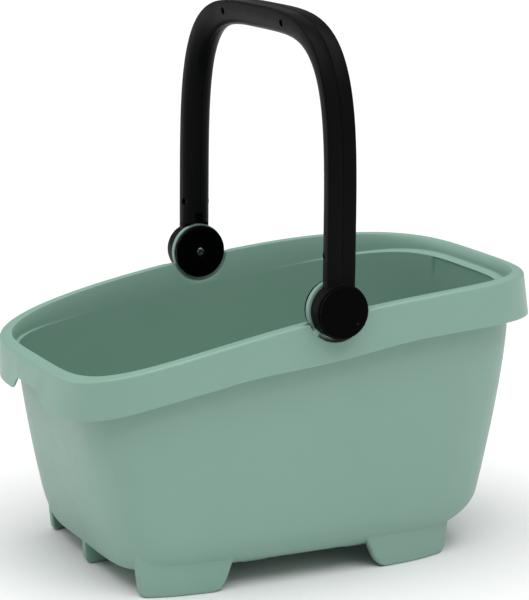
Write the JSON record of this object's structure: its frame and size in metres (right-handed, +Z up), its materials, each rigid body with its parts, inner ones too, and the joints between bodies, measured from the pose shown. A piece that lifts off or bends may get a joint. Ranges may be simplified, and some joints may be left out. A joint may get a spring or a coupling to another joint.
{
  "type": "carry basket with swing handle",
  "caption": "Moulded plastic carry basket on feet, with a sloping skirted rim and an arched handle that swings on two side hubs.",
  "frame": {"origin": "middle of the basket's plan, on the surface that its feet stand on", "axes": "+Z up, +X towards the high end of the rim, Y across the basket along the handle's axis"},
  "size_m": [0.4593, 0.3256, 0.4901],
  "materials": {
    "green_polypropylene": "sage green moulded polypropylene, satin, fine spark-eroded grain",
    "satin_black_nylon": "black moulded nylon, satin",
    "gloss_black_cap": "black moulded plastic, polished",
    "pale_acetal": "natural acetal bearing sleeve",
    "bright_steel": "bright zinc plated steel",
    "spring_steel": "plain spring steel",
    "blackened_steel": "blackened steel screw",
    "insert_brass": "turned brass"
  },
  "bodies": {
    "basket": {"basket_shell": "green_polypropylene", "near_pivot_bush": "pale_acetal", "far_pivot_bush": "pale_acetal"},
    "handle": {"handle_front_shell": "satin_black_nylon", "handle_rear_shell": "satin_black_nylon", "handle_screw_top_near": "blackened_steel", "handle_screw_top_far": "blackened_steel", "handle_screw_leg_near": "blackened_steel", "handle_screw_leg_far": "blackened_steel", "near_hub_knuckle": "satin_black_nylon", "near_hub_cap": "gloss_black_cap", "near_inner_disc": "gloss_black_cap", "near_pivot_screw": "bright_steel", "near_threaded_insert": "insert_brass", "near_friction_washer": "spring_steel", "far_hub_knuckle": "satin_black_nylon", "far_hub_cap": "gloss_black_cap", "far_inner_disc": "gloss_black_cap", "far_pivot_screw": "bright_steel", "far_threaded_insert": "insert_brass", "far_friction_washer": "spring_steel"}
  },
  "joints": [
    {"name": "handle_swing", "type": "hinge", "parent": "basket", "child": "handle", "pos_m": [-0.0022, 0, 0.244], "axis": [0, 1, 0], "range_deg": [-85, 70]}
  ]
}
